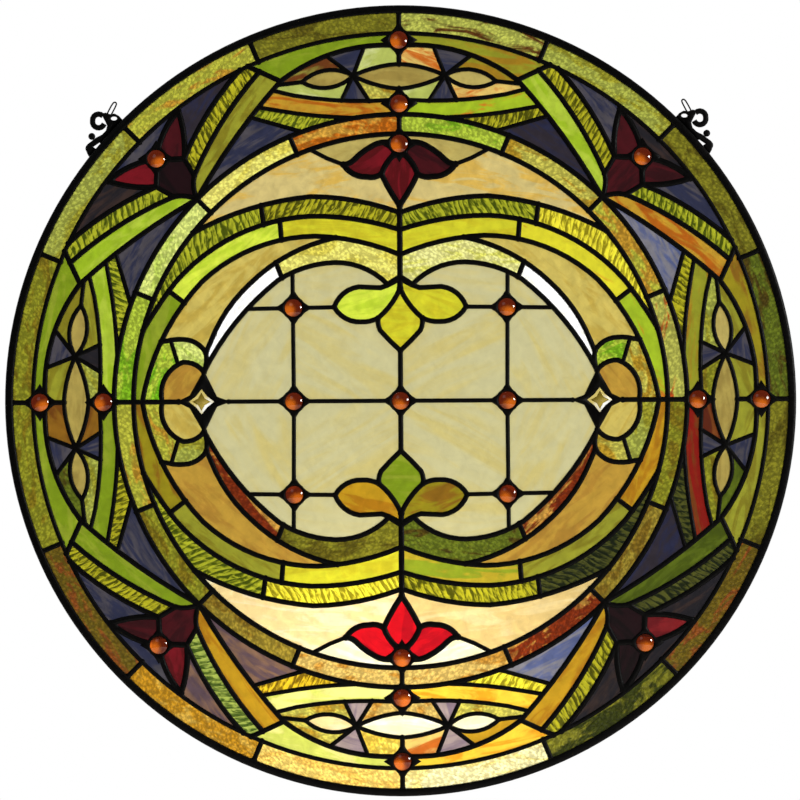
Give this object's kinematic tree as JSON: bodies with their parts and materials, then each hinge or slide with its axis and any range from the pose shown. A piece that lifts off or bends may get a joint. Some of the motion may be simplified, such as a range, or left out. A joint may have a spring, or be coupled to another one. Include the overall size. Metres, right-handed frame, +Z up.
{
  "type": "stained glass window",
  "caption": "Round stained glass window with leaded tulips, leaf blades, arched bands and a cream grid set with amber jewels, hung by wire loops on scroll brackets.",
  "frame": {"origin": "midway between the tops of the wire loops, in the middle plane of the panel", "axes": "+Z up as the panel hangs, the front faces -Y, +X to the right as seen from the front"},
  "size_m": [0.61, 0.0079, 0.61],
  "materials": {
    "rim_came": "dark patina on metal came",
    "solder": "solder lines with dark patina",
    "bracket": "dull black casting",
    "wire": "darkened copper wire",
    "amber_jewel": "polished amber glass jewel",
    "gold_diamond": "faceted pale gold glass",
    "olive_glass": "hammered cathedral glass",
    "straw_glass": "streaky glass",
    "leaf_green_glass": "streaky translucent glass",
    "lemon_glass": "streaky translucent glass",
    "dusk_glass": "streaky translucent glass",
    "mauve_glass": "streaky translucent glass",
    "tan_glass": "streaky translucent glass",
    "ivory_glass": "streaky translucent glass",
    "lime_glass": "streaky translucent glass",
    "pale_gold_glass": "hammered glass",
    "russet_glass": "hammered glass",
    "honey_glass": "streaky translucent glass",
    "spring_green_glass": "hammered glass",
    "amber_glass": "streaky translucent glass",
    "cream_glass": "streaky translucent glass",
    "yellow_glass": "streaky translucent glass",
    "ruby_glass": "streaky translucent glass"
  },
  "bodies": {
    "root": {"rim": "rim_came", "leading": "solder", "glass_border_band": "olive_glass", "glass_inner_ring": "straw_glass", "glass_cream_grid": "cream_glass", "glass_field_right": "leaf_green_glass", "glass_field_top": "leaf_green_glass", "glass_field_left": "leaf_green_glass", "glass_field_bottom": "lemon_glass", "glass_corner_tulip_top_right": "dusk_glass", "glass_tan_field_top_right": "tan_glass", "glass_crescent_top_right": "honey_glass", "glass_corner_tulip_top_left": "dusk_glass", "glass_tan_field_top_left": "tan_glass", "glass_crescent_top_left": "honey_glass", "glass_corner_tulip_bottom_left": "mauve_glass", "glass_tan_field_bottom_left": "ivory_glass", "glass_crescent_bottom_left": "honey_glass", "glass_corner_tulip_bottom_right": "dusk_glass", "glass_tan_field_bottom_right": "ivory_glass", "glass_crescent_bottom_right": "honey_glass", "glass_green_arches_top": "lime_glass", "glass_gold_arches_top": "pale_gold_glass", "glass_fleur_top": "yellow_glass", "glass_tulip_top": "ruby_glass", "glass_green_arches_bottom": "lime_glass", "glass_gold_arches_bottom": "russet_glass", "glass_fleur_bottom": "yellow_glass", "glass_tulip_bottom": "ruby_glass", "glass_horseshoe_right": "spring_green_glass", "glass_half_moon_right": "amber_glass", "glass_horseshoe_left": "spring_green_glass", "glass_half_moon_left": "amber_glass", "jewel_right_outer": "amber_jewel", "jewel_right_inner": "amber_jewel", "jewel_top_outer": "amber_jewel", "jewel_top_inner": "amber_jewel", "jewel_left_outer": "amber_jewel", "jewel_left_inner": "amber_jewel", "jewel_bottom_outer": "amber_jewel", "jewel_bottom_inner": "amber_jewel", "jewel_tulip_top": "amber_jewel", "jewel_tulip_bottom": "amber_jewel", "jewel_centre": "amber_jewel", "jewel_grid_left": "amber_jewel", "jewel_grid_right": "amber_jewel", "jewel_grid_top_right": "amber_jewel", "jewel_grid_top_left": "amber_jewel", "jewel_grid_bottom_left": "amber_jewel", "jewel_grid_bottom_right": "amber_jewel", "jewel_corner_top_right": "amber_jewel", "jewel_corner_top_left": "amber_jewel", "jewel_corner_bottom_left": "amber_jewel", "jewel_corner_bottom_right": "amber_jewel", "diamond_left": "gold_diamond", "bracket_left": "bracket", "wire_loop_left": "wire", "diamond_right": "gold_diamond", "bracket_right": "bracket", "wire_loop_right": "wire"}
  },
  "joints": []
}
